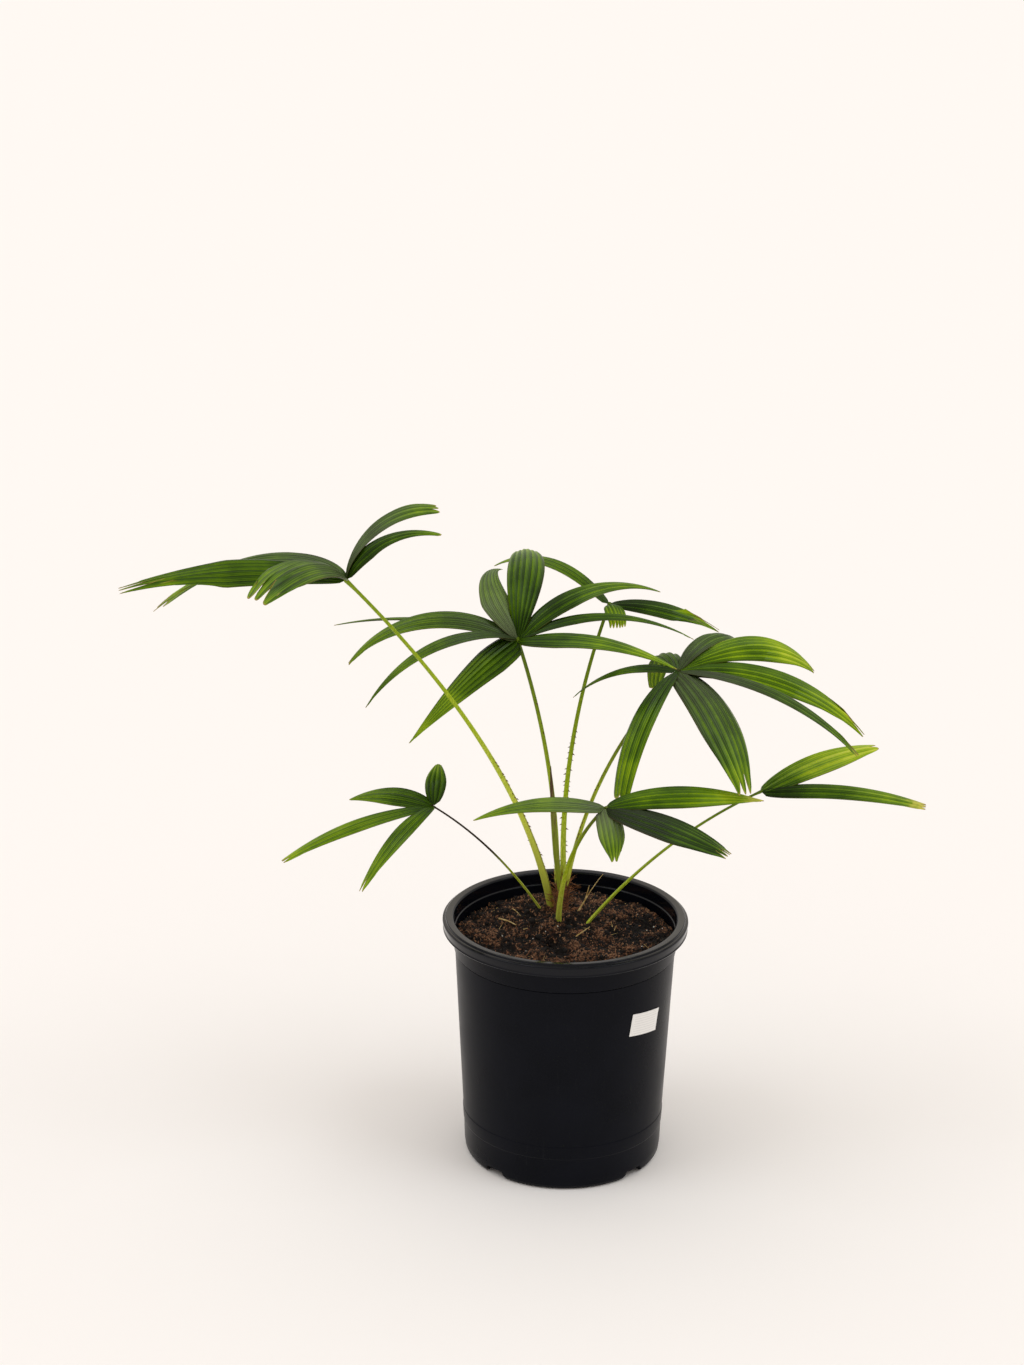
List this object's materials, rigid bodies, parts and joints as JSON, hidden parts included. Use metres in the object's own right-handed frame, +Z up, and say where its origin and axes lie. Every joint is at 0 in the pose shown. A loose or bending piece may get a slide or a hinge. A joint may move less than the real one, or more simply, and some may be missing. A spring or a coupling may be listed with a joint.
{
  "type": "potted livistona speciosa",
  "caption": "Young fan palm in a black nursery pot: slender arching petioles, each ending in a star of pleated, drooping green leaflets.",
  "frame": {"origin": "centre of the pot's flat underside", "axes": "+Z up, -Y towards the viewer of the picture, +X to that viewer's right"},
  "size_m": [0.7827, 0.4436, 0.6995],
  "materials": {
    "pot": "satin",
    "soil": "matte",
    "crown": "matte",
    "petiole": "satin",
    "spear": "satin",
    "leaflet": "satin",
    "label": "matte"
  },
  "bodies": {
    "root": {"pot": "pot", "soil": "soil", "crown_stem": "crown", "spear": "spear", "petiole_upper_left": "petiole", "leaflet_upper_left_1": "leaflet", "leaflet_upper_left_2": "leaflet", "leaflet_upper_left_3": "leaflet", "leaflet_upper_left_4": "leaflet", "leaflet_upper_left_5": "leaflet", "petiole_centre": "petiole", "leaflet_centre_1": "leaflet", "leaflet_centre_2": "leaflet", "leaflet_centre_3": "leaflet", "leaflet_centre_4": "leaflet", "leaflet_centre_5": "leaflet", "leaflet_centre_6": "leaflet", "leaflet_centre_7": "leaflet", "leaflet_centre_8": "leaflet", "leaflet_centre_9": "leaflet", "petiole_back": "petiole", "leaflet_back_1": "leaflet", "leaflet_back_2": "leaflet", "leaflet_back_3": "leaflet", "petiole_right": "petiole", "leaflet_right_1": "leaflet", "leaflet_right_2": "leaflet", "leaflet_right_3": "leaflet", "leaflet_right_4": "leaflet", "leaflet_right_5": "leaflet", "leaflet_right_6": "leaflet", "leaflet_right_7": "leaflet", "leaflet_right_8": "leaflet", "petiole_low_front": "petiole", "leaflet_low_front_1": "leaflet", "leaflet_low_front_2": "leaflet", "leaflet_low_front_3": "leaflet", "leaflet_low_front_4": "leaflet", "petiole_low_right": "petiole", "leaflet_low_right_1": "leaflet", "leaflet_low_right_2": "leaflet", "petiole_low_left": "petiole", "leaflet_low_left_1": "leaflet", "leaflet_low_left_2": "leaflet", "leaflet_low_left_3": "leaflet", "leaflet_low_left_4": "leaflet", "label": "label"}
  },
  "joints": []
}
